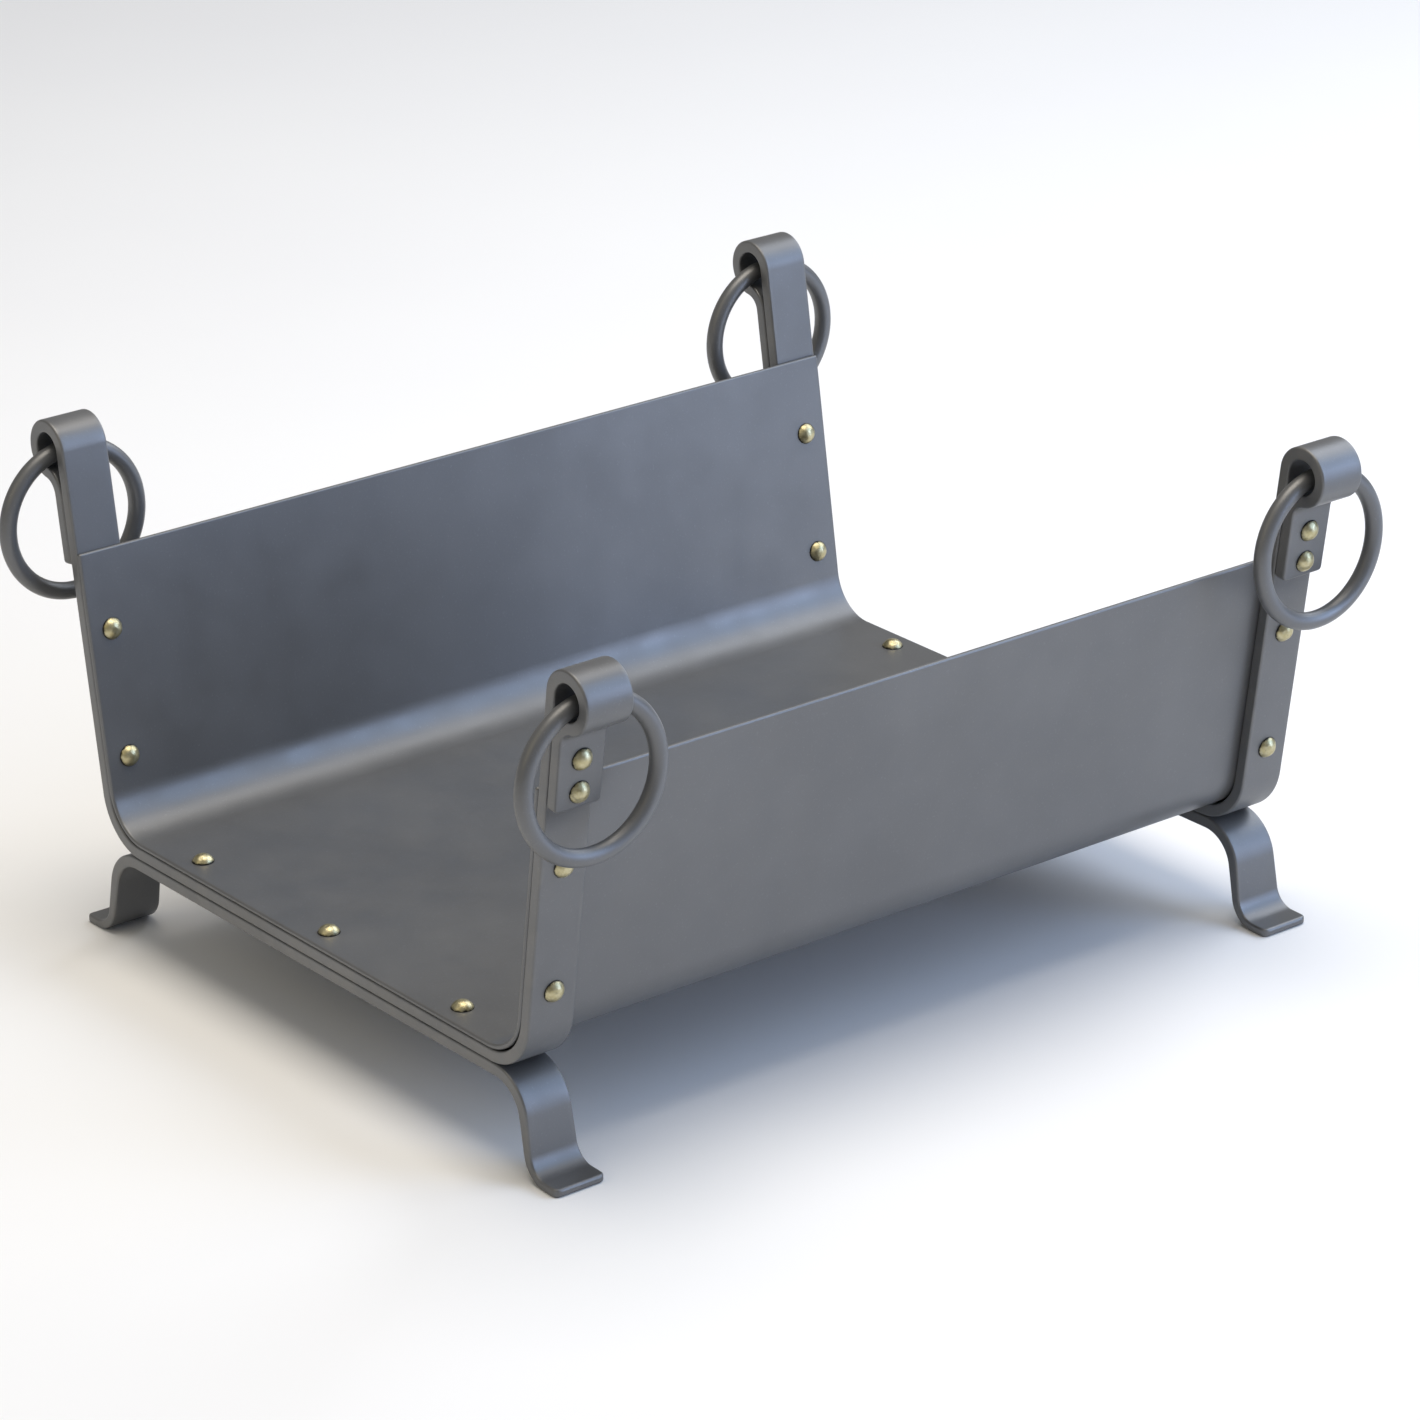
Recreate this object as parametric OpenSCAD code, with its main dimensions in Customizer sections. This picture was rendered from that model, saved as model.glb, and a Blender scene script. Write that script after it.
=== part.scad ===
// Firewood log rack: a bent sheet tray held in two flat-bar hoops, on two flat-bar feet,
// with a hanging carry ring in the rolled eye at the top of each hoop arm.
// Frame: +X to the right-hand side panel, +Y to the rear along the logs, +Z up.
// Origin: on the ground, under the middle of the rack.

/* [Tray] */
// Length of the tray, from the front hoop's face to the rear hoop's face
tray_length = 457; // [380:1:560]
// Thickness of the tray's sheet
sheet_thick = 2.5; // [1.5:0.1:3.5]
// Outer radius of the sheet's two bottom corners
sheet_corner = 26.5; // [24:0.5:34]
// Height of the sheet's top edge above the ground
sheet_top = 195.5; // [170:0.5:205]

/* [Hoops] */
// Width of the flat bar
bar_width = 25.4; // [20:0.1:32]
// Thickness of the flat bar
bar_thick = 6.35; // [5:0.05:7]
// Width between the lines of the outer arm faces, at the level of the hoop's underside
hoop_width = 339; // [280:1:400]
// Height of the hoop's underside above the ground
hoop_height = 49.4; // [44:0.1:60]
// Outward lean of the arms, in degrees
arm_lean = 8.5; // [4:0.5:11]
// Outer radius of the hoop's two bottom corners
hoop_corner = 30; // [24:0.5:32]

/* [Eyes] */
// Height of the eye's axis above the ground
eye_height = 242.5; // [236:0.5:260]
// Bore of the rolled eye
eye_bore = 17; // [16:0.5:20]
// Height of the tab's lower end above the ground
tab_end = 187; // [180:0.5:189]
// Gap left where the tab lies against its own arm
fold_gap = 0.2; // [0.1:0.1:0.5]
// Radius of the hollow bend between the eye and the tab
crease_radius = 8; // [4:0.5:10]

/* [Rings] */
// Mean diameter of the ring
ring_diameter = 73; // [70:1:78]
// Diameter of the ring's round bar
ring_wire = 8.6; // [7:0.1:9]
// Running clearance between the ring and the eye
ring_play = 0.3; // [0.2:0.1:1]

/* [Feet] */
// Outer radius of the bend where the foot bar turns down into a leg
knee_radius = 24; // [20:0.5:26]
// Distance from the middle of the rack to that bend's centre
knee_reach = 147; // [130:1:152]
// Outward splay of the legs, in degrees
leg_splay = 12; // [6:1:16]
// Radius of the concave bend where the leg turns out into the toe
toe_radius = 9; // [6:0.5:10]
// Distance from the middle of the rack to the toe's tip
toe_reach = 193; // [186:0.5:200]

/* [Rivets] */
// Diameter of the rivet heads
head_diameter = 11; // [9:0.1:12]
// Height of the domed rivet heads
head_height = 3.9; // [1.5:0.1:4]
// Diameter of the rivet shanks
shank_diameter = 5; // [4:0.1:6]
// Height of the lower side rivets above the ground
side_rivet_low = 92; // [86:0.5:100]
// Height of the upper side rivets above the ground
side_rivet_high = 155.4; // [145:0.1:160]
// Height of the lower tab rivets above the ground
tab_rivet_low = 195; // [194:0.5:197]
// Height of the upper tab rivets above the ground
tab_rivet_high = 211.2; // [209:0.1:214]
// Distance from the middle of the rack to the outer base rivets
base_rivet_reach = 105.7; // [80:0.1:120]

/* [Hidden] */
ENDS = ["front", "rear"];
SIDES = ["left", "right"];
$fn = 96;

painted = [0.45, 0.46, 0.48];
brass = [0.80, 0.72, 0.45];

// Clearance of a drilled hole round a rivet's shank
hole_play = 0.05;
// How far a tab rivet's shank is sunk into the arm behind the tab
blind_depth = 4.5;
// How far a drill reaches past what it cuts
past = 1;

bore_radius = eye_bore / 2;
ring_radius = ring_diameter / 2;
wire_radius = ring_wire / 2;

// Rounds to a thousandth, so that neighbouring stretches and bends end on the same line
function tidy(x) = round(x * 1000) / 1000;
// A direction turned outward from straight up by an arm's lean
function leaned(p) = [
    p[0] * cos(arm_lean) + p[1] * sin(arm_lean),
    p[1] * cos(arm_lean) - p[0] * sin(arm_lean)
];
// A point on the right arm: s along its outer face from the hoop's underside, v out from it
function arm(s, v) = [hoop_width / 2, hoop_height] + leaned([v, s]);
// Distance along the arm of the point at height z and v out from the outer face
function arm_at(z, v) = (z - hoop_height + v * sin(arm_lean)) / cos(arm_lean);

// A strap's bottom corner, when its outer face is inset from the hoop's, turns about a centre
// that is level with this distance along the arm
function corner_s(inset, corner) = (inset + corner) * (1 - sin(arm_lean)) / cos(arm_lean);
function corner_x(inset, corner) = tidy(arm(corner_s(inset, corner), -inset - corner)[0]);
// Straight stretch of a strap from that corner up to distance s along the arm
function stretch(inset, corner, s) = tidy(s - corner_s(inset, corner));

eye_stretch = stretch(0, hoop_corner, arm_at(eye_height, bore_radius));
eye_centre = [corner_x(0, hoop_corner), hoop_height + hoop_corner]
    + leaned([hoop_corner + bore_radius, eye_stretch]);
// The crease's bend meets the eye's roll where the line through both centres crosses them, which
// is turned out from the arm's own direction by this angle
crease_span = bore_radius + bar_thick + crease_radius;
crease_turn = asin((fold_gap + bar_thick + crease_radius - bore_radius) / crease_span);
tab_length = tidy(arm_at(eye_height, bore_radius) - crease_span * cos(crease_turn)
    - arm_at(tab_end, bar_thick));

// The ring's underside rests in the eye at the two edges of the bar
ring_hang = sqrt(pow(ring_radius - wire_radius, 2) - pow(bar_width / 2, 2));
ring_centre = [eye_centre[0], eye_centre[1] - bore_radius + ring_play - ring_hang];

// The leg runs straight from the knee's bend to the toe's, whose underside is on the ground
knee_height = hoop_height - knee_radius;
leg_drop = knee_height + (knee_radius + toe_radius) * sin(leg_splay) - toe_radius - bar_thick;
leg_length = tidy(leg_drop / cos(leg_splay));
toe_start = knee_reach + (knee_radius + toe_radius) * cos(leg_splay) + leg_length * sin(leg_splay);
toe_length = tidy(toe_reach - toe_start);

// Sign of Y at the front end, and at the rear one
function end_sign(end) = end == "front" ? -1 : 1;
// Middle of an end's hoop and foot bar
function bar_y(end) = end_sign(end) * (tray_length - bar_width) / 2;

// The flat ring that a bend is cut from
module flat_ring(inner, thick) {
    difference() {
        circle(r = inner + thick);
        circle(r = inner);
    }
}

// A square cutter of a given reach, whose corner is at the origin, in quadrant [x, y]
module quadrant(reach, x, y) {
    translate([min(x, 0) * reach, min(y, 0) * reach])
        square(reach);
}

// Joins stretches and bends that meet at a tangent: they are scaled down for it, so that what a
// rotation's rounding leaves between their corners is too small to come out as an edge
module welded() {
    scale(1000)
        for (i = [0:$children - 1])
            scale(1 / 1000)
                children(i);
}

// Turns a frame with the arm, about a strap's corner centre
module in_arm(centre) {
    translate(centre)
        rotate(-arm_lean)
            children();
}

// Turns a frame with the leg, about the knee's centre
module in_leg() {
    translate([knee_reach, knee_height])
        rotate(leg_splay)
            children();
}

// One half of a strap bent to the hoop's shape, from the middle of the base up the right arm:
// inset is its outer face's depth inside the hoop's, and top is the distance to its end
module half_cradle(inset, thick, corner, top) {
    centre = [corner_x(inset, corner), hoop_height + inset + corner];
    welded() {
        translate([0, hoop_height + inset])
            square([centre[0], thick]);
        translate(centre)
            intersection() {
                flat_ring(corner - thick, thick);
                quadrant(2 * corner, 1, -1);
                rotate(-arm_lean)
                    quadrant(2 * corner, 1, -1);
            }
        in_arm(centre)
            translate([corner - thick, 0])
                square([thick, stretch(inset, corner, top)]);
    }
}

// Turns a frame to the line from the eye's centre, in the arm's frame, down to the crease's
module in_crease() {
    translate([hoop_corner + bore_radius, eye_stretch])
        rotate(crease_turn)
            translate([0, -crease_span])
                children();
}

// The eye's roll, the crease under it and the tab that comes back down the right arm
module half_eye() {
    eye_cut = 2 * (bore_radius + bar_thick);
    crease_cut = 2 * (crease_radius + bar_thick);
    in_arm([corner_x(0, hoop_corner), hoop_height + hoop_corner])
        welded() {
            translate([hoop_corner + bore_radius, eye_stretch])
                difference() {
                    flat_ring(bore_radius, bar_thick);
                    quadrant(eye_cut, -1, -1);
                    rotate(crease_turn)
                        quadrant(eye_cut, -1, -1);
                }
            in_crease()
                intersection() {
                    flat_ring(crease_radius, bar_thick);
                    quadrant(crease_cut, -1, 1);
                    rotate(-crease_turn)
                        quadrant(crease_cut, -1, 1);
                }
            in_crease()
                rotate(-crease_turn)
                    translate([-crease_radius - bar_thick, -tab_length])
                        square([bar_thick, tab_length]);
        }
}

// The right half of a foot bar: base, knee, leg, the toe's bend and the toe
module half_foot() {
    toe_bend = [knee_radius + toe_radius, -leg_length];
    toe_cut = 2 * (toe_radius + bar_thick);
    welded() {
        translate([0, hoop_height - bar_thick])
            square([knee_reach, bar_thick]);
        translate([knee_reach, knee_height])
            intersection() {
                flat_ring(knee_radius - bar_thick, bar_thick);
                quadrant(2 * knee_radius, 1, 1);
                rotate(leg_splay)
                    quadrant(2 * knee_radius, 1, 1);
            }
        in_leg()
            translate([knee_radius - bar_thick, -leg_length])
                square([bar_thick, leg_length]);
        in_leg()
            translate(toe_bend)
                intersection() {
                    flat_ring(toe_radius, bar_thick);
                    quadrant(toe_cut, -1, -1);
                    rotate(-leg_splay)
                        quadrant(toe_cut, -1, -1);
                }
        in_leg()
            translate(toe_bend)
                rotate(-leg_splay)
                    translate([0, -toe_radius - bar_thick])
                        square([toe_length, bar_thick]);
    }
}

// Extrudes an outline drawn in X and Z to a given width, centred on a given Y
module across(y, width) {
    translate([0, y + width / 2, 0])
        rotate([90, 0, 0])
            linear_extrude(height = width)
                children();
}

// The right-hand half of a strap and its mirror image
module both_sides() {
    children();
    mirror([1, 0, 0])
        children();
}

// Puts children on an arm's outer face at height z and v out from it, with +Z pointing out
module on_arm(side, y, z, v) {
    place = arm(arm_at(z, v), v);
    mirror([side == "left" ? 1 : 0, 0, 0])
        translate([place[0], y, place[1]])
            rotate([0, 90 + arm_lean, 0])
                children();
}

// Puts children on the tray's floor at a base rivet
module on_base(end, x) {
    translate([x, bar_y(end), hoop_height + bar_thick + sheet_thick])
        children();
}

// A domed rivet head that stands on z = 0: what is above it of the dome's whole sphere
module rivet_head() {
    dome = (pow(head_diameter / 2, 2) + pow(head_height, 2)) / (2 * head_height);
    intersection() {
        translate([0, 0, head_height - dome])
            sphere(r = dome);
        cylinder(d = 2 * head_diameter, h = 2 * head_height);
    }
}

// A rivet whose outer head stands on z = 0 and whose shank is sunk to a given depth
module rivet(depth, two_heads) {
    translate([0, 0, -depth])
        cylinder(d = shank_diameter, h = depth + past / 2);
    rivet_head();
    if (two_heads)
        translate([0, 0, -depth])
            mirror([0, 0, 1])
                rivet_head();
}

// The hole that a rivet of that depth is drilled through
module rivet_hole(depth) {
    translate([0, 0, -depth])
        cylinder(d = shank_diameter + 2 * hole_play, h = depth + past);
}

module side_rivet_holes(end) {
    for (side = SIDES, z = [side_rivet_low, side_rivet_high])
        on_arm(side, bar_y(end), z, 0)
            rivet_hole(bar_thick + sheet_thick + past);
}

module tab_rivet_holes(end) {
    for (side = SIDES, z = [tab_rivet_low, tab_rivet_high])
        on_arm(side, bar_y(end), z, fold_gap + bar_thick)
            rivet_hole(fold_gap + bar_thick + blind_depth + hole_play);
}

module base_rivet_holes(end) {
    for (x = [-base_rivet_reach, 0, base_rivet_reach])
        on_base(end, x)
            rivet_hole(2 * bar_thick + sheet_thick + past);
}

module tray_sheet() {
    color(painted)
        difference() {
            both_sides()
                across(0, tray_length)
                    half_cradle(bar_thick, sheet_thick, sheet_corner, arm_at(sheet_top, -bar_thick));
            for (end = ENDS) {
                side_rivet_holes(end);
                base_rivet_holes(end);
            }
        }
}

module hoop(end) {
    color(painted)
        difference() {
            both_sides()
                across(bar_y(end), bar_width) {
                    half_cradle(0, bar_thick, hoop_corner, arm_at(eye_height, bore_radius));
                    half_eye();
                }
            side_rivet_holes(end);
            tab_rivet_holes(end);
            base_rivet_holes(end);
        }
}

module foot_bar(end) {
    color(painted)
        difference() {
            both_sides()
                across(bar_y(end), bar_width)
                    half_foot();
            base_rivet_holes(end);
        }
}

module ring(end, side) {
    color(painted)
        translate([(side == "left" ? -1 : 1) * ring_centre[0], bar_y(end), ring_centre[1]])
            rotate([0, 90, 0])
                rotate_extrude()
                    translate([ring_radius, 0])
                        circle(r = wire_radius);
}

module side_rivet(end, side, z) {
    color(brass)
        on_arm(side, bar_y(end), z, 0)
            rivet(bar_thick + sheet_thick, true);
}

module tab_rivet(end, side, z) {
    color(brass)
        on_arm(side, bar_y(end), z, fold_gap + bar_thick)
            rivet(fold_gap + bar_thick + blind_depth, false);
}

module base_rivet(end, x) {
    color(brass)
        on_base(end, x)
            rivet(2 * bar_thick + sheet_thick, true);
}

tray_sheet();

for (end = ENDS) {
    hoop(end);
    foot_bar(end);
    for (side = SIDES) {
        name = str(end, "_", side);
        ring(end, side);
        side_rivet(end, side, side_rivet_low);
        side_rivet(end, side, side_rivet_high);
        tab_rivet(end, side, tab_rivet_low);
        tab_rivet(end, side, tab_rivet_high);
    }
    base_rivet(end, -base_rivet_reach);
    base_rivet(end, 0);
    base_rivet(end, base_rivet_reach);
}
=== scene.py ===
"""Looks of the firewood log rack: bent straps with eased edges, hanging rings and hammered brass rivets.

Every piece stands for one CAD node. Lengths are in metres, in the CAD's own frame: +X to the right-hand
side panel, +Y to the rear, +Z up, with the origin on the ground under the middle of the rack.
"""

import math
import random
from collections import namedtuple

import bpy
from mathutils import Matrix, Vector


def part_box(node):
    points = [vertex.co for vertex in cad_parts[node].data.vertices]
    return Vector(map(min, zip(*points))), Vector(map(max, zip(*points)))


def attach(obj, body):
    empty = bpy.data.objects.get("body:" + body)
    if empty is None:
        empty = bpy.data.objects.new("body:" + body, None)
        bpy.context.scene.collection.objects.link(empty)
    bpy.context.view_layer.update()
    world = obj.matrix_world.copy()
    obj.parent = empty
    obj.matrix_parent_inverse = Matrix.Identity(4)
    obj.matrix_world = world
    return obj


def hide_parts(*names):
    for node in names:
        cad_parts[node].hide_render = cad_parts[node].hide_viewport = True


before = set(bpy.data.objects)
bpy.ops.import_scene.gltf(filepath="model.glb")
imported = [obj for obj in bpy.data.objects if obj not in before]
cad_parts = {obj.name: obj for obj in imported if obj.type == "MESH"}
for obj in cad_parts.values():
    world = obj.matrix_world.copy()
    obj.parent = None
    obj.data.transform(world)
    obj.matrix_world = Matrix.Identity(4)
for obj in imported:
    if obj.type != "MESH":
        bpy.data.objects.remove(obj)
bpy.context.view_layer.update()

# The CAD's driving dimensions that a piece's shape needs
BAR_THICK = 0.00635
SHEET_THICK = 0.0025
ARM_LEAN = math.radians(8.5)
HOOP_WIDTH = 0.339
HOOP_HEIGHT = 0.0494
HOOP_CORNER = 0.030
SHEET_CORNER = 0.0265
SHEET_TOP = 0.1955
EYE_HEIGHT = 0.2425
BORE_RADIUS = 0.0085
FOLD_GAP = 0.0002
TAB_END = 0.187
CREASE_RADIUS = 0.008
KNEE_RADIUS = 0.024
KNEE_REACH = 0.147
LEG_SPLAY = math.radians(12)
TOE_RADIUS = 0.009
TOE_REACH = 0.193
HEAD_RADIUS = 0.0055
HEAD_HEIGHT = 0.0039
DOME_RADIUS = (HEAD_RADIUS ** 2 + HEAD_HEIGHT ** 2) / (2 * HEAD_HEIGHT)
SHANK_RADIUS = 0.0025
BLIND_DEPTH = 0.0045
BASE_RIVET_REACH = 0.1057
SIDE_RIVET_HEIGHTS = {"lower": 0.092, "upper": 0.1554}
TAB_RIVET_HEIGHTS = {"lower": 0.195, "upper": 0.2112}

# Radius that eases the long edges of a bar, and of the sheet
BAR_EDGE = 0.0011
SHEET_EDGE = 0.0011
# How far a toe's end is rounded, in its width and in its thickness
TOE_CORNER = 0.0035
TOE_EDGE = 0.0017
# How far the hammer lowers a toe's upper face at the tip, spreads each side there, and reaches up the leg
TOE_THINNING = 0.0022
TOE_SPREAD = 0.0013
TOE_TAPER = 0.055
# How far a tab's end is rounded in its width
TAB_CORNER = 0.0025
# Width of the band beside a bar's edge that is lightened by rubbing and by a painted highlight, and of the
# band round a rivet's rim that is darkened by old paint and by painted shade
EDGE_BAND = 0.0016
RIM_BAND = 0.0013
# How far a rivet head's rim stands off the bar, and how far it is drawn in underneath
RIM_HEIGHT = 0.00012
RIM_UNDERCUT = 0.0001
# The hammer's blows on a rivet head: how many, how far off its axis, how deep, and how flat they leave it
BLOWS = 9
BLOW_TILTS = (0.1, 1.0)
BLOW_DEPTHS = (0.00004, 0.00018)
BLOW_FLATNESS = 0.9

# How fine the meshes are
STRAIGHT_STEP = 0.02
FORGED_STEP = 0.004
BEND_STEP = math.radians(4)
SECTION_CORNER_STEPS = 4
END_CORNER_STEPS = 8
END_EDGE_STEPS = 6
RING_AROUND = 144
RING_SECTION = 28
RIVET_AROUND = 40
DOME_STEPS = 15

ENDS = ("front", "rear")
SIDES = {"left": -1, "right": 1}


# ---------------------------------------------------------------- paths of bent straps

Run = namedtuple("Run", "start length place heading curvature")


def follow(run, d):
    """The point at distance d along a run, and the heading there."""
    if run.curvature == 0:
        return run.place + d * Vector((math.cos(run.heading), math.sin(run.heading))), run.heading
    end = run.heading + run.curvature * d
    chord = Vector((math.sin(end) - math.sin(run.heading), math.cos(run.heading) - math.cos(end)))
    return run.place + chord / run.curvature, end


class Path:
    """The middle line of a bent strap in the XZ plane, drawn like a turtle: straight runs and bends."""

    def __init__(self, start, heading):
        self.place = Vector(start)
        self.heading = heading
        self.runs = []
        self.length = 0.0

    def add(self, length, curvature):
        self.runs.append(Run(self.length, length, self.place.copy(), self.heading, curvature))
        self.place, self.heading = follow(self.runs[-1], length)
        self.length += length

    def forward(self, length):
        self.add(length, 0.0)

    def bend(self, radius, angle):
        """Turns left by a positive angle, right by a negative one."""
        self.add(radius * abs(angle), math.copysign(1 / radius, angle))

    def at(self, s):
        """The point at distance s, and the direction across the strap there, left of the heading."""
        slack = 1e-9
        run = [r for r in self.runs if r.start <= s + slack][-1]
        place, heading = follow(run, s - run.start)
        return place, Vector((-math.sin(heading), math.cos(heading)))

    def stations(self, straight_step):
        """Distances along the path at which a cross-section is put."""
        slack = 1e-6
        out = []
        for run in self.runs:
            turn = abs(run.curvature) * run.length
            steps = max(1, round(run.length / straight_step), math.ceil(turn / BEND_STEP - slack))
            out += [run.start + run.length * i / steps for i in range(steps)]
        return out + [self.length]


def leaned(across, along):
    """A move across and along the right arm, as X and Z."""
    c, s = math.cos(ARM_LEAN), math.sin(ARM_LEAN)
    return Vector((across * c + along * s, along * c - across * s))


def arm_point(along, across):
    return Vector((HOOP_WIDTH / 2, HOOP_HEIGHT)) + leaned(across, along)


def arm_at(z, across):
    """Distance along the arm of the point at height z and that far out from its outer face."""
    return (z - HOOP_HEIGHT + across * math.sin(ARM_LEAN)) / math.cos(ARM_LEAN)


def cradle(path, inset, thick, corner, top):
    """Draws the base, corner and arm of a strap bent to the hoop's shape, from its middle to the right."""
    along = (inset + corner) * (1 - math.sin(ARM_LEAN)) / math.cos(ARM_LEAN)
    path.forward(arm_point(along, -inset - corner)[0])
    path.bend(corner - thick / 2, math.pi / 2 - ARM_LEAN)
    path.forward(top - along)


def both_halves(half):
    """The whole path, from the left end to the right one, of a strap whose right half is given."""
    whole = Path((-half.place[0], half.place[1]), -half.heading)
    for run in [*reversed(half.runs), *half.runs]:
        whole.add(run.length, run.curvature)
    return whole


def sheet_path():
    half = Path((0, HOOP_HEIGHT + BAR_THICK + SHEET_THICK / 2), 0)
    cradle(half, BAR_THICK, SHEET_THICK, SHEET_CORNER, arm_at(SHEET_TOP, -BAR_THICK))
    return both_halves(half)


def hoop_path():
    """Base, corners and arms, each rolled outward into an eye and creased back down into a tab."""
    half = Path((0, HOOP_HEIGHT + BAR_THICK / 2), 0)
    eye_along = arm_at(EYE_HEIGHT, BORE_RADIUS)
    cradle(half, 0, BAR_THICK, HOOP_CORNER, eye_along)
    span = BORE_RADIUS + BAR_THICK + CREASE_RADIUS
    turn = math.asin((FOLD_GAP + BAR_THICK + CREASE_RADIUS - BORE_RADIUS) / span)
    half.bend(BORE_RADIUS + BAR_THICK / 2, turn - math.radians(270))
    half.bend(CREASE_RADIUS + BAR_THICK / 2, math.radians(90) - turn)
    half.forward(eye_along - span * math.cos(turn) - arm_at(TAB_END, BAR_THICK))
    return both_halves(half)


def foot_path():
    half = Path((0, HOOP_HEIGHT - BAR_THICK / 2), 0)
    half.forward(KNEE_REACH)
    turn = math.pi / 2 - LEG_SPLAY
    half.bend(KNEE_RADIUS - BAR_THICK / 2, -turn)
    bends_drop = (KNEE_RADIUS + TOE_RADIUS) * (1 - math.sin(LEG_SPLAY))
    half.forward((HOOP_HEIGHT - BAR_THICK - bends_drop) / math.cos(LEG_SPLAY))
    half.bend(TOE_RADIUS + BAR_THICK / 2, turn)
    half.forward(TOE_REACH - half.place[0])
    return both_halves(half)


# ---------------------------------------------------------------- meshes

def new_object(name, verts, faces, attribute=None, values=()):
    mesh = bpy.data.meshes.new(name)
    mesh.from_pydata([tuple(v) for v in verts], [], faces)
    mesh.validate()
    if attribute:
        mesh.attributes.new(attribute, "FLOAT", "POINT").data.foreach_set("value", values)
    mesh.shade_smooth()
    obj = bpy.data.objects.new(name, mesh)
    bpy.context.scene.collection.objects.link(obj)
    return obj


def rounded_section(half_width, half_thick, edge):
    """A rounded rectangle: (across the width, across the thickness, how near an edge it is) points."""
    most_eased = 0.98
    least_inset = 0.3
    edge = min(edge, half_width * most_eased, half_thick * most_eased)
    out = []
    for quarter, (sw, st) in enumerate(((1, 1), (-1, 1), (-1, -1), (1, -1))):
        corner = []
        for i in range(SECTION_CORNER_STEPS + 1):
            a = math.pi / 2 * i / SECTION_CORNER_STEPS
            a = a if quarter % 2 == 0 else math.pi / 2 - a
            corner.append((sw * (half_width - edge + edge * math.cos(a)),
                           st * (half_thick - edge + edge * math.sin(a)), 1.0))
        inset = (sw * max(half_width - edge - EDGE_BAND, half_width * least_inset), st * half_thick, 0.0)
        out += corner + [inset] if quarter % 2 == 0 else [inset] + corner
    return out


def end_ease(d, radius):
    """How much a side has drawn in at distance d from an end that is rounded to that radius."""
    if d >= radius:
        return 0.0
    return radius - math.sqrt(max(radius ** 2 - (radius - d) ** 2, 0.0))


def end_steps(radius, steps):
    """Distances from an end at which its rounding gets a cross-section."""
    return [radius * (1 - math.cos(math.pi / 2 * i / steps)) for i in range(steps)]


def strap_stations(path, end_corner, end_edge, forged):
    """Distances along a strap at which it gets a cross-section, none closer than a tenth of a micron."""
    eased = end_steps(end_corner, END_CORNER_STEPS) + end_steps(end_edge, END_EDGE_STEPS)
    near_end = max(end_corner, end_edge)
    between = [s for s in path.stations(FORGED_STEP if forged else STRAIGHT_STEP)
               if near_end < s < path.length - near_end]
    return sorted({round(s, 7) for s in between + eased + [path.length - e for e in eased]})


def drawn_down(d):
    """How far the hammer has drawn a bar down at distance d from its end, from 0 to 1."""
    nearness = max(0.0, 1 - d / TOE_TAPER)
    return nearness * nearness * (3 - 2 * nearness)


def strap(name, path, y_mid, width, thick, edge, end_corner, end_edge, rubbing_and_highlight_strength=1.0, forged=False):
    """A flat bar swept along a path, with eased edges and rounded ends.

    A forged bar is drawn down too: towards each end its upper face drops and its sides spread.
    """
    stations = strap_stations(path, end_corner, end_edge, forged)
    verts, faces, rubbing_and_highlight = [], [], []
    for s in stations:
        d = min(s, path.length - s)
        drawn = drawn_down(d) if forged else 0.0
        lowered = TOE_THINNING * drawn
        half_width = width / 2 + TOE_SPREAD * drawn - end_ease(d, end_corner)
        half_thick = (thick - lowered) / 2 - end_ease(d, end_edge)
        place, across = path.at(s)
        place = place - across * lowered / 2
        for w, t, near_edge in rounded_section(half_width, half_thick, edge):
            verts.append((place[0] + across[0] * t, y_mid + w, place[1] + across[1] * t))
            # How much the edge band is lightened here, by rubbing and by a painted highlight
            rubbing_and_highlight.append(rubbing_and_highlight_strength if d < edge else rubbing_and_highlight_strength * near_edge)
    n = len(verts) // len(stations)
    for i in range(len(stations) - 1):
        for j in range(n):
            k = (j + 1) % n
            faces.append((i * n + j, i * n + k, (i + 1) * n + k, (i + 1) * n + j))
    last = (len(stations) - 1) * n
    for j in range(n // 2 - 1):
        a, b, c, d = j, j + 1, n - 2 - j, n - 1 - j
        faces.append((a, d, c, b))
        faces.append((last + a, last + b, last + c, last + d))
    obj = new_object(name, verts, faces, "edge_wear_and_highlight", rubbing_and_highlight)
    fix = obj.modifiers.new("even_normals", "WEIGHTED_NORMAL")
    fix.keep_sharp = True
    return obj


def ring(name, centre, mean_radius, wire_radius):
    """A hanging ring of round bar, in the plane across the rack's X axis."""
    verts, faces = [], []
    for i in range(RING_AROUND):
        a = 2 * math.pi * i / RING_AROUND
        for j in range(RING_SECTION):
            b = 2 * math.pi * j / RING_SECTION
            r = mean_radius + wire_radius * math.cos(b)
            x = centre[0] + wire_radius * math.sin(b)
            verts.append((x, centre[1] + r * math.sin(a), centre[2] + r * math.cos(a)))
            k, m = (i + 1) % RING_AROUND * RING_SECTION, (j + 1) % RING_SECTION
            faces.append((i * RING_SECTION + j, i * RING_SECTION + m, k + m, k + j))
    return new_object(name, verts, faces)


def dome_profile():
    """(radius, height) points of a rivet head's face, from its rim to its top."""
    out = []
    widest = math.asin(HEAD_RADIUS / DOME_RADIUS)
    for i in range(1, DOME_STEPS):
        a = widest * (1 - i / DOME_STEPS)
        out.append((DOME_RADIUS * math.sin(a), HEAD_HEIGHT - DOME_RADIUS + DOME_RADIUS * math.cos(a)))
    return out


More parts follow.
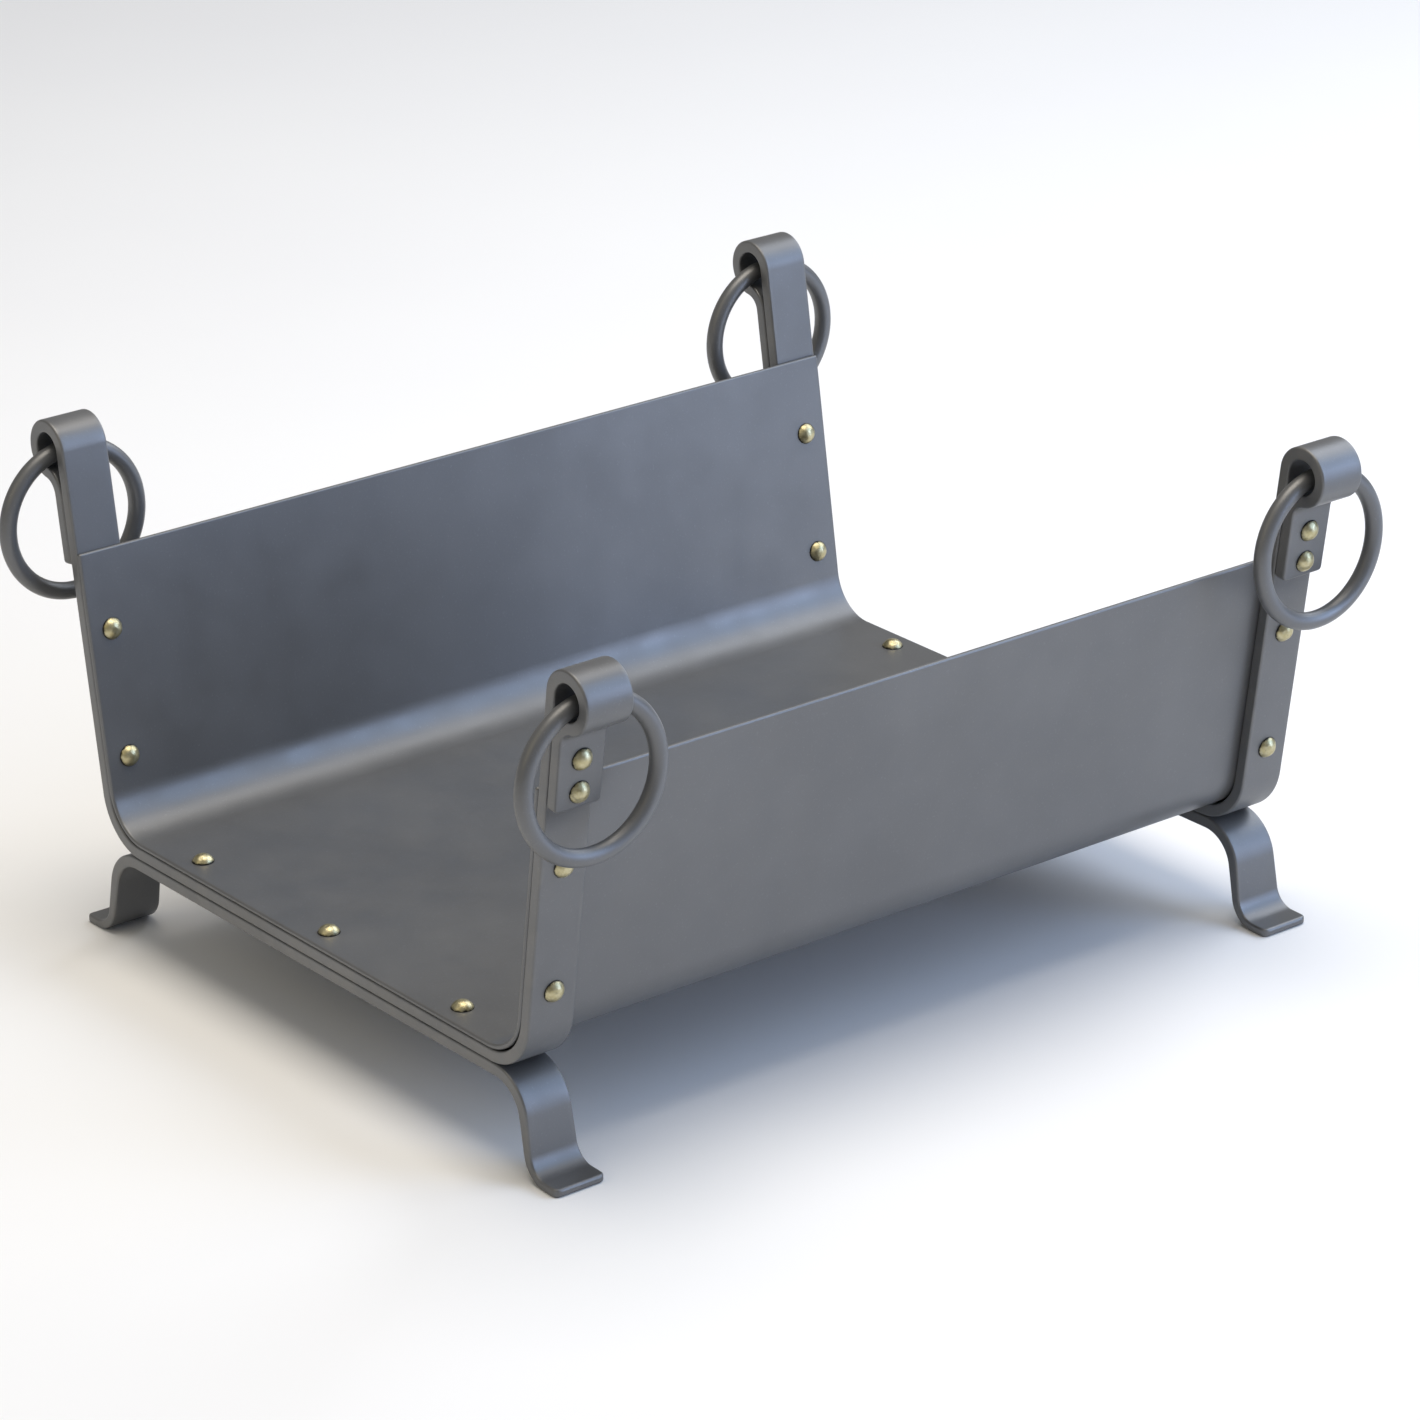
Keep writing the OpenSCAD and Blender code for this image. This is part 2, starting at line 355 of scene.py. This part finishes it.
def hammered(verts, centre_z, direction, rng):
    """Flattens a head a little where the hammer fell."""
    blows = []
    for _ in range(BLOWS):
        tilt = rng.uniform(*BLOW_TILTS)
        turn = rng.uniform(0, 2 * math.pi)
        normal = Vector((math.sin(tilt) * math.cos(turn), math.sin(tilt) * math.sin(turn), math.cos(tilt)))
        blows.append((normal, rng.uniform(*BLOW_DEPTHS)))
    middle = Vector((0, 0, HEAD_HEIGHT - DOME_RADIUS))
    out = []
    for v in verts:
        p = Vector((v[0], v[1], (v[2] - centre_z) * direction)) - middle
        for normal, depth in blows:
            over = p.dot(normal) - (DOME_RADIUS - depth)
            if over > 0:
                p -= normal * over * BLOW_FLATNESS
        p += middle
        out.append(Vector((p[0], p[1], p[2] * direction + centre_z)))
    return out


def rivet(name, depth, two_heads, seed):
    """A rivet along Z whose outer head stands on z = 0 and whose shank goes down to -depth."""
    rng = random.Random(seed)
    rim_inside = HEAD_RADIUS - RIM_UNDERCUT
    outline = [(r, h, "outer") for r, h in reversed(dome_profile())]
    outline += [(HEAD_RADIUS, RIM_HEIGHT, "rim"), (rim_inside, 0.0, "rim"), (SHANK_RADIUS, 0.0, "shank")]
    outline += [(SHANK_RADIUS, -depth, "shank")]
    if two_heads:
        outline += [(rim_inside, -depth, "rim"), (HEAD_RADIUS, -depth - RIM_HEIGHT, "rim")]
        outline += [(r, -depth - h, "inner") for r, h in dome_profile()]
    verts = [Vector((0, 0, HEAD_HEIGHT))]
    kinds = ["outer"]
    for r, z, kind in outline:
        for j in range(RIVET_AROUND):
            a = 2 * math.pi * j / RIVET_AROUND
            verts.append(Vector((r * math.cos(a), r * math.sin(a), z)))
            kinds.append(kind)
    verts.append(Vector((0, 0, -depth - HEAD_HEIGHT if two_heads else -depth)))
    kinds.append("inner" if two_heads else "shank")
    for kind, centre, direction in (("outer", 0, 1), ("inner", -depth, -1)):
        where = [i for i, k in enumerate(kinds) if k == kind]
        for i, v in zip(where, hammered([verts[i] for i in where], centre, direction, rng)):
            verts[i] = v
    faces = []
    for j in range(RIVET_AROUND):
        k = (j + 1) % RIVET_AROUND
        faces.append((0, 1 + j, 1 + k))
        for i in range(len(outline) - 1):
            a = 1 + i * RIVET_AROUND
            faces.append((a + j, a + RIVET_AROUND + j, a + RIVET_AROUND + k, a + k))
        a = 1 + (len(outline) - 1) * RIVET_AROUND
        faces.append((a + j, len(verts) - 1, a + k))
    # How near each point is to the rim, for the dark band of old paint and painted shade there
    rim = [max(0.0, 1 - max(v[2], -depth - v[2]) / RIM_BAND) for v in verts]
    return new_object(name, verts, faces, "rim", rim)


# ---------------------------------------------------------------- materials

class Look:
    """A material made of nodes that read the piece's own coordinates."""

    def __init__(self, name):
        self.material = bpy.data.materials.new(name)
        self.material.use_nodes = True
        self.nodes = self.material.node_tree.nodes
        self.links = self.material.node_tree.links
        self.shader = self.nodes["Principled BSDF"]
        self.coords = self.nodes.new("ShaderNodeTexCoord").outputs["Object"]

    def fix(self, socket, number):
        """Sets a value that is the same all over the surface."""
        self.shader.inputs[socket].default_value = number

    def feed(self, socket, value):
        """Gives the shader a value that varies over the surface."""
        self.links.new(value, self.shader.inputs[socket])

    def attribute(self, name):
        node = self.nodes.new("ShaderNodeAttribute")
        node.attribute_name = name
        return node.outputs["Fac"]

    def noise(self, scale, detail):
        node = self.nodes.new("ShaderNodeTexNoise")
        node.inputs["Scale"].default_value = scale
        node.inputs["Detail"].default_value = detail
        self.links.new(self.coords, node.inputs["Vector"])
        return node.outputs["Fac"]

    def spread(self, value, low, high, to_low=0, to_high=1):
        """Maps a value from one range to another, clamped."""
        node = self.nodes.new("ShaderNodeMapRange")
        for key, number in (("From Min", low), ("From Max", high), ("To Min", to_low), ("To Max", to_high)):
            node.inputs[key].default_value = number
        self.links.new(value, node.inputs["Value"])
        return node.outputs["Result"]

    def arithmetic(self, operation, a, b):
        node = self.nodes.new("ShaderNodeMath")
        node.operation = operation
        self.links.new(a, node.inputs[0])
        self.links.new(b, node.inputs[1])
        return node.outputs[0]

    def mixed(self, factor, a, b):
        """A colour between a and b, each a colour or another node's output."""
        node = self.nodes.new("ShaderNodeMix")
        node.data_type = "RGBA"
        self.links.new(factor, node.inputs["Factor"])
        first, second = 6, 7    # the Mix node's colour inputs
        for socket, value in ((node.inputs[first], a), (node.inputs[second], b)):
            if isinstance(value, tuple):
                socket.default_value = (*value, 1)
            else:
                self.links.new(value, socket)
        return node.outputs[2]    # the Mix node's colour

    def bump(self, height, strength, distance, normal=None):
        node = self.nodes.new("ShaderNodeBump")
        node.inputs["Strength"].default_value = strength
        node.inputs["Distance"].default_value = distance
        self.links.new(height, node.inputs["Height"])
        if normal is not None:
            self.links.new(normal, node.inputs["Normal"])
        return node.outputs["Normal"]


def paint():
    """Satin graphite paint on forged bar and sheet: slight orange peel, faint blotches, edges lightened by
    rubbing and by a painted highlight.
    """
    look = Look("graphite_paint_look")
    blotches = look.spread(look.noise(14, 4), 0.35, 0.65)
    colour = look.mixed(blotches, (0.150, 0.152, 0.155), (0.168, 0.170, 0.173))
    specks = look.spread(look.noise(900, 2), 0.62, 0.75, 0, 0.35)
    colour = look.mixed(specks, colour, (0.23, 0.235, 0.24))
    # Edges lightened in patches, partly by rubbing and partly as a painted highlight
    patches = look.spread(look.noise(90, 4), 0.42, 0.62, 0, 0.45)
    rubbed_and_highlit = look.arithmetic("MULTIPLY", look.attribute("edge_wear_and_highlight"), patches)
    look.feed("Base Color", look.mixed(rubbed_and_highlit, colour, (0.20, 0.197, 0.19)))
    look.feed("Roughness", look.spread(look.noise(45, 5), 0.3, 0.7, 0.36, 0.46))
    peel = look.bump(look.noise(700, 2), 0.12, 0.0002)
    look.feed("Normal", look.bump(look.noise(18, 2), 0.25, 0.0006, peel))
    look.fix("Metallic", 0.55)
    look.fix("Specular IOR Level", 0.6)
    return look.material


def brass():
    """Hammered, slightly dull brass: blotched, finely scratched, with a dark band round the rim that is
    partly old paint and partly painted shade where the head meets the bar.
    """
    look = Look("brass_look")
    blotches = look.spread(look.noise(420, 3), 0.35, 0.65)
    colour = look.mixed(blotches, (0.44, 0.39, 0.22), (0.55, 0.50, 0.32))
    # A dark band round the rim, partly old paint and partly painted shade where the head meets the bar
    raggedness = look.spread(look.noise(500, 3), 0.3, 0.7, -0.3, 0.3)
    ragged_rim = look.arithmetic("ADD", look.attribute("rim"), raggedness)
    paint_and_shade_at_rim = look.spread(ragged_rim, 0.15, 0.75)
    look.feed("Base Color", look.mixed(paint_and_shade_at_rim, colour, (0.035, 0.035, 0.033)))
    look.feed("Roughness", look.spread(look.noise(900, 3), 0.3, 0.7, 0.32, 0.46))
    look.feed("Normal", look.bump(look.noise(1300, 3), 0.3, 0.0002))
    look.fix("Metallic", 1.0)
    return look.material


def floor_finish():
    look = Look("pale_floor")
    shade = look.spread(look.noise(2.5, 3), 0.3, 0.7)
    look.feed("Base Color", look.mixed(shade, (0.86, 0.86, 0.865), (0.88, 0.88, 0.88)))
    look.fix("Roughness", 0.9)
    look.fix("Specular IOR Level", 0.1)
    return look.material


# ---------------------------------------------------------------- pieces

PAINT = paint()
BRASS = brass()


def place_piece(obj, node, body, material):
    obj.data.materials.append(material)
    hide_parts(node)
    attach(obj, body)


def middle_and_size(node):
    low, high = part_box(node)
    return (low + high) / 2, high - low


def stand(obj, place, direction):
    """Bakes a turn of +Z to a direction and a move to a place into a piece's mesh."""
    turn = Vector(direction).to_track_quat("Z", "Y").to_matrix().to_4x4()
    obj.data.transform(Matrix.Translation(place) @ turn)


def make_sheet():
    middle, size = middle_and_size("tray_sheet")
    # The sheet's edges get no rubbing or painted highlight
    obj = strap("tray", sheet_path(), middle[1], size[1], SHEET_THICK, SHEET_EDGE, SHEET_EDGE, SHEET_EDGE,
                rubbing_and_highlight_strength=0.0)
    place_piece(obj, "tray_sheet", "rack", PAINT)


def make_straps(end):
    middle, size = middle_and_size(end + "_hoop")
    obj = strap(end + "_hoop_strap", hoop_path(), middle[1], size[1], BAR_THICK, BAR_EDGE,
                TAB_CORNER, BAR_EDGE)
    place_piece(obj, end + "_hoop", "rack", PAINT)
    obj = strap(end + "_foot_strap", foot_path(), middle[1], size[1], BAR_THICK, BAR_EDGE,
                TOE_CORNER, TOE_EDGE, forged=True)
    place_piece(obj, end + "_foot_bar", "rack", PAINT)


def make_ring(end, side):
    node = f"{end}_{side}_ring"
    middle, size = middle_and_size(node)
    wire = size[0] / 2
    obj = ring(node + "_bar", middle, size[2] / 2 - wire, wire)
    place_piece(obj, node, f"{end}_{side}_carry_ring", PAINT)


def make_arm_rivets(end, side, seed):
    """Two side rivets through the arm and the sheet, and two blind tab rivets, each with its own seed."""
    y = middle_and_size(end + "_hoop")[0][1]
    sign = SIDES[side]
    out = leaned(1, 0)
    tab_out = FOLD_GAP + BAR_THICK
    for kind, heights, across, depth, two_heads in (
        ("side", SIDE_RIVET_HEIGHTS, 0.0, BAR_THICK + SHEET_THICK, True),
        ("tab", TAB_RIVET_HEIGHTS, tab_out, tab_out + BLIND_DEPTH, False),
    ):
        for level, z in heights.items():
            seed += 1
            node = f"{end}_{side}_{kind}_rivet_{level}"
            place = arm_point(arm_at(z, across), across)
            obj = rivet(node + "_head", depth, two_heads, seed)
            stand(obj, (sign * place[0], y, place[1]), (sign * out[0], 0, out[1]))
            place_piece(obj, node, "rack", BRASS)


def make_base_rivets(end, seed):
    """Three rivets through the sheet, the hoop and the foot bar, each with its own seed."""
    y = middle_and_size(end + "_hoop")[0][1]
    for place, x in (("left", -BASE_RIVET_REACH), ("middle", 0.0), ("right", BASE_RIVET_REACH)):
        seed += 1
        node = f"{end}_base_rivet_{place}"
        obj = rivet(node + "_head", 2 * BAR_THICK + SHEET_THICK, True, seed)
        stand(obj, (x, y, HOOP_HEIGHT + BAR_THICK + SHEET_THICK), (0, 0, 1))
        place_piece(obj, node, "rack", BRASS)


make_sheet()
for number, end in enumerate(ENDS):
    make_straps(end)
    make_base_rivets(end, 100 * number + 50)
    for side in SIDES:
        make_ring(end, side)
        make_arm_rivets(end, side, 100 * number + 10 * (SIDES[side] + 2))


# ---------------------------------------------------------------- floor, light and camera

def toward(bearing, height):
    """The unit vector at a bearing, in degrees from +X towards +Y, and a height over the horizon."""
    bearing = math.radians(bearing)
    height = math.radians(height)
    flat = math.cos(height)
    return Vector((flat * math.cos(bearing), flat * math.sin(bearing), math.sin(height)))


def make_floor():
    mesh = bpy.data.meshes.new("studio_floor")
    reach = 6.0
    corners = [(-reach, -reach, 0), (reach, -reach, 0), (reach, reach, 0), (-reach, reach, 0)]
    mesh.from_pydata(corners, [], [(0, 1, 2, 3)])
    floor = bpy.data.objects.new("studio_floor", mesh)
    bpy.context.scene.collection.objects.link(floor)
    mesh.materials.append(floor_finish())


def soft_box(name, place, aim, size, power, colour):
    data = bpy.data.lights.new(name, "AREA")
    data.shape = "DISK"
    data.size = size
    data.energy = power
    data.color = colour
    obj = bpy.data.objects.new(name, data)
    bpy.context.scene.collection.objects.link(obj)
    obj.location = place
    obj.rotation_euler = (aim - place).to_track_quat("-Z", "Y").to_euler()


def make_lights():
    """A plain studio: five soft boxes round the rack, cool behind and to the right, in a dim surround."""
    world = bpy.data.worlds.new("studio")
    world.use_nodes = True
    background = world.node_tree.nodes["Background"]
    background.inputs["Color"].default_value = (1, 1, 1, 1)
    background.inputs["Strength"].default_value = 0.3
    bpy.context.scene.world = world
    aim = Vector((0, 0, 0.1))
    for name, bearing, height, reach, size, power, colour in (
        ("overhead_softbox", 0, 90, 2.6, 2.0, 45, (1.0, 0.92, 0.80)),
        ("rear_softbox", 90, 40, 3.0, 2.0, 38, (0.84, 0.90, 1.0)),
        ("corner_softbox", 45, 35, 3.0, 2.0, 28, (0.44, 0.64, 1.0)),
        ("low_softbox", 36, 14, 3.0, 1.5, 22, (0.54, 0.68, 1.0)),
        ("front_softbox", -90, 35, 3.0, 2.0, 6, (1.0, 0.85, 0.5)),
    ):
        soft_box(name, reach * toward(bearing, height), aim, size, power, colour)


def make_camera():
    """The camera stands at the photograph's viewing angle, with a slight roll."""
    bearing = -38.06
    elevation = 22.505
    roll = math.radians(-0.70)
    film = 36
    lens_per_film = 3.973
    camera = bpy.data.objects.new("camera", bpy.data.cameras.new("camera"))
    bpy.context.scene.collection.objects.link(camera)
    camera.location = (1.9918, -1.5483, 1.158)
    level = (-toward(bearing, elevation)).to_track_quat("-Z", "Y").to_matrix()
    camera.rotation_euler = (level @ Matrix.Rotation(roll, 3, "Z")).to_euler()
    camera.data.sensor_width = film
    camera.data.lens = film * lens_per_film
    camera.data.clip_end = 50
    bpy.context.scene.camera = camera


make_floor()
make_lights()
make_camera()
bpy.context.scene.view_settings.view_transform = "Standard"
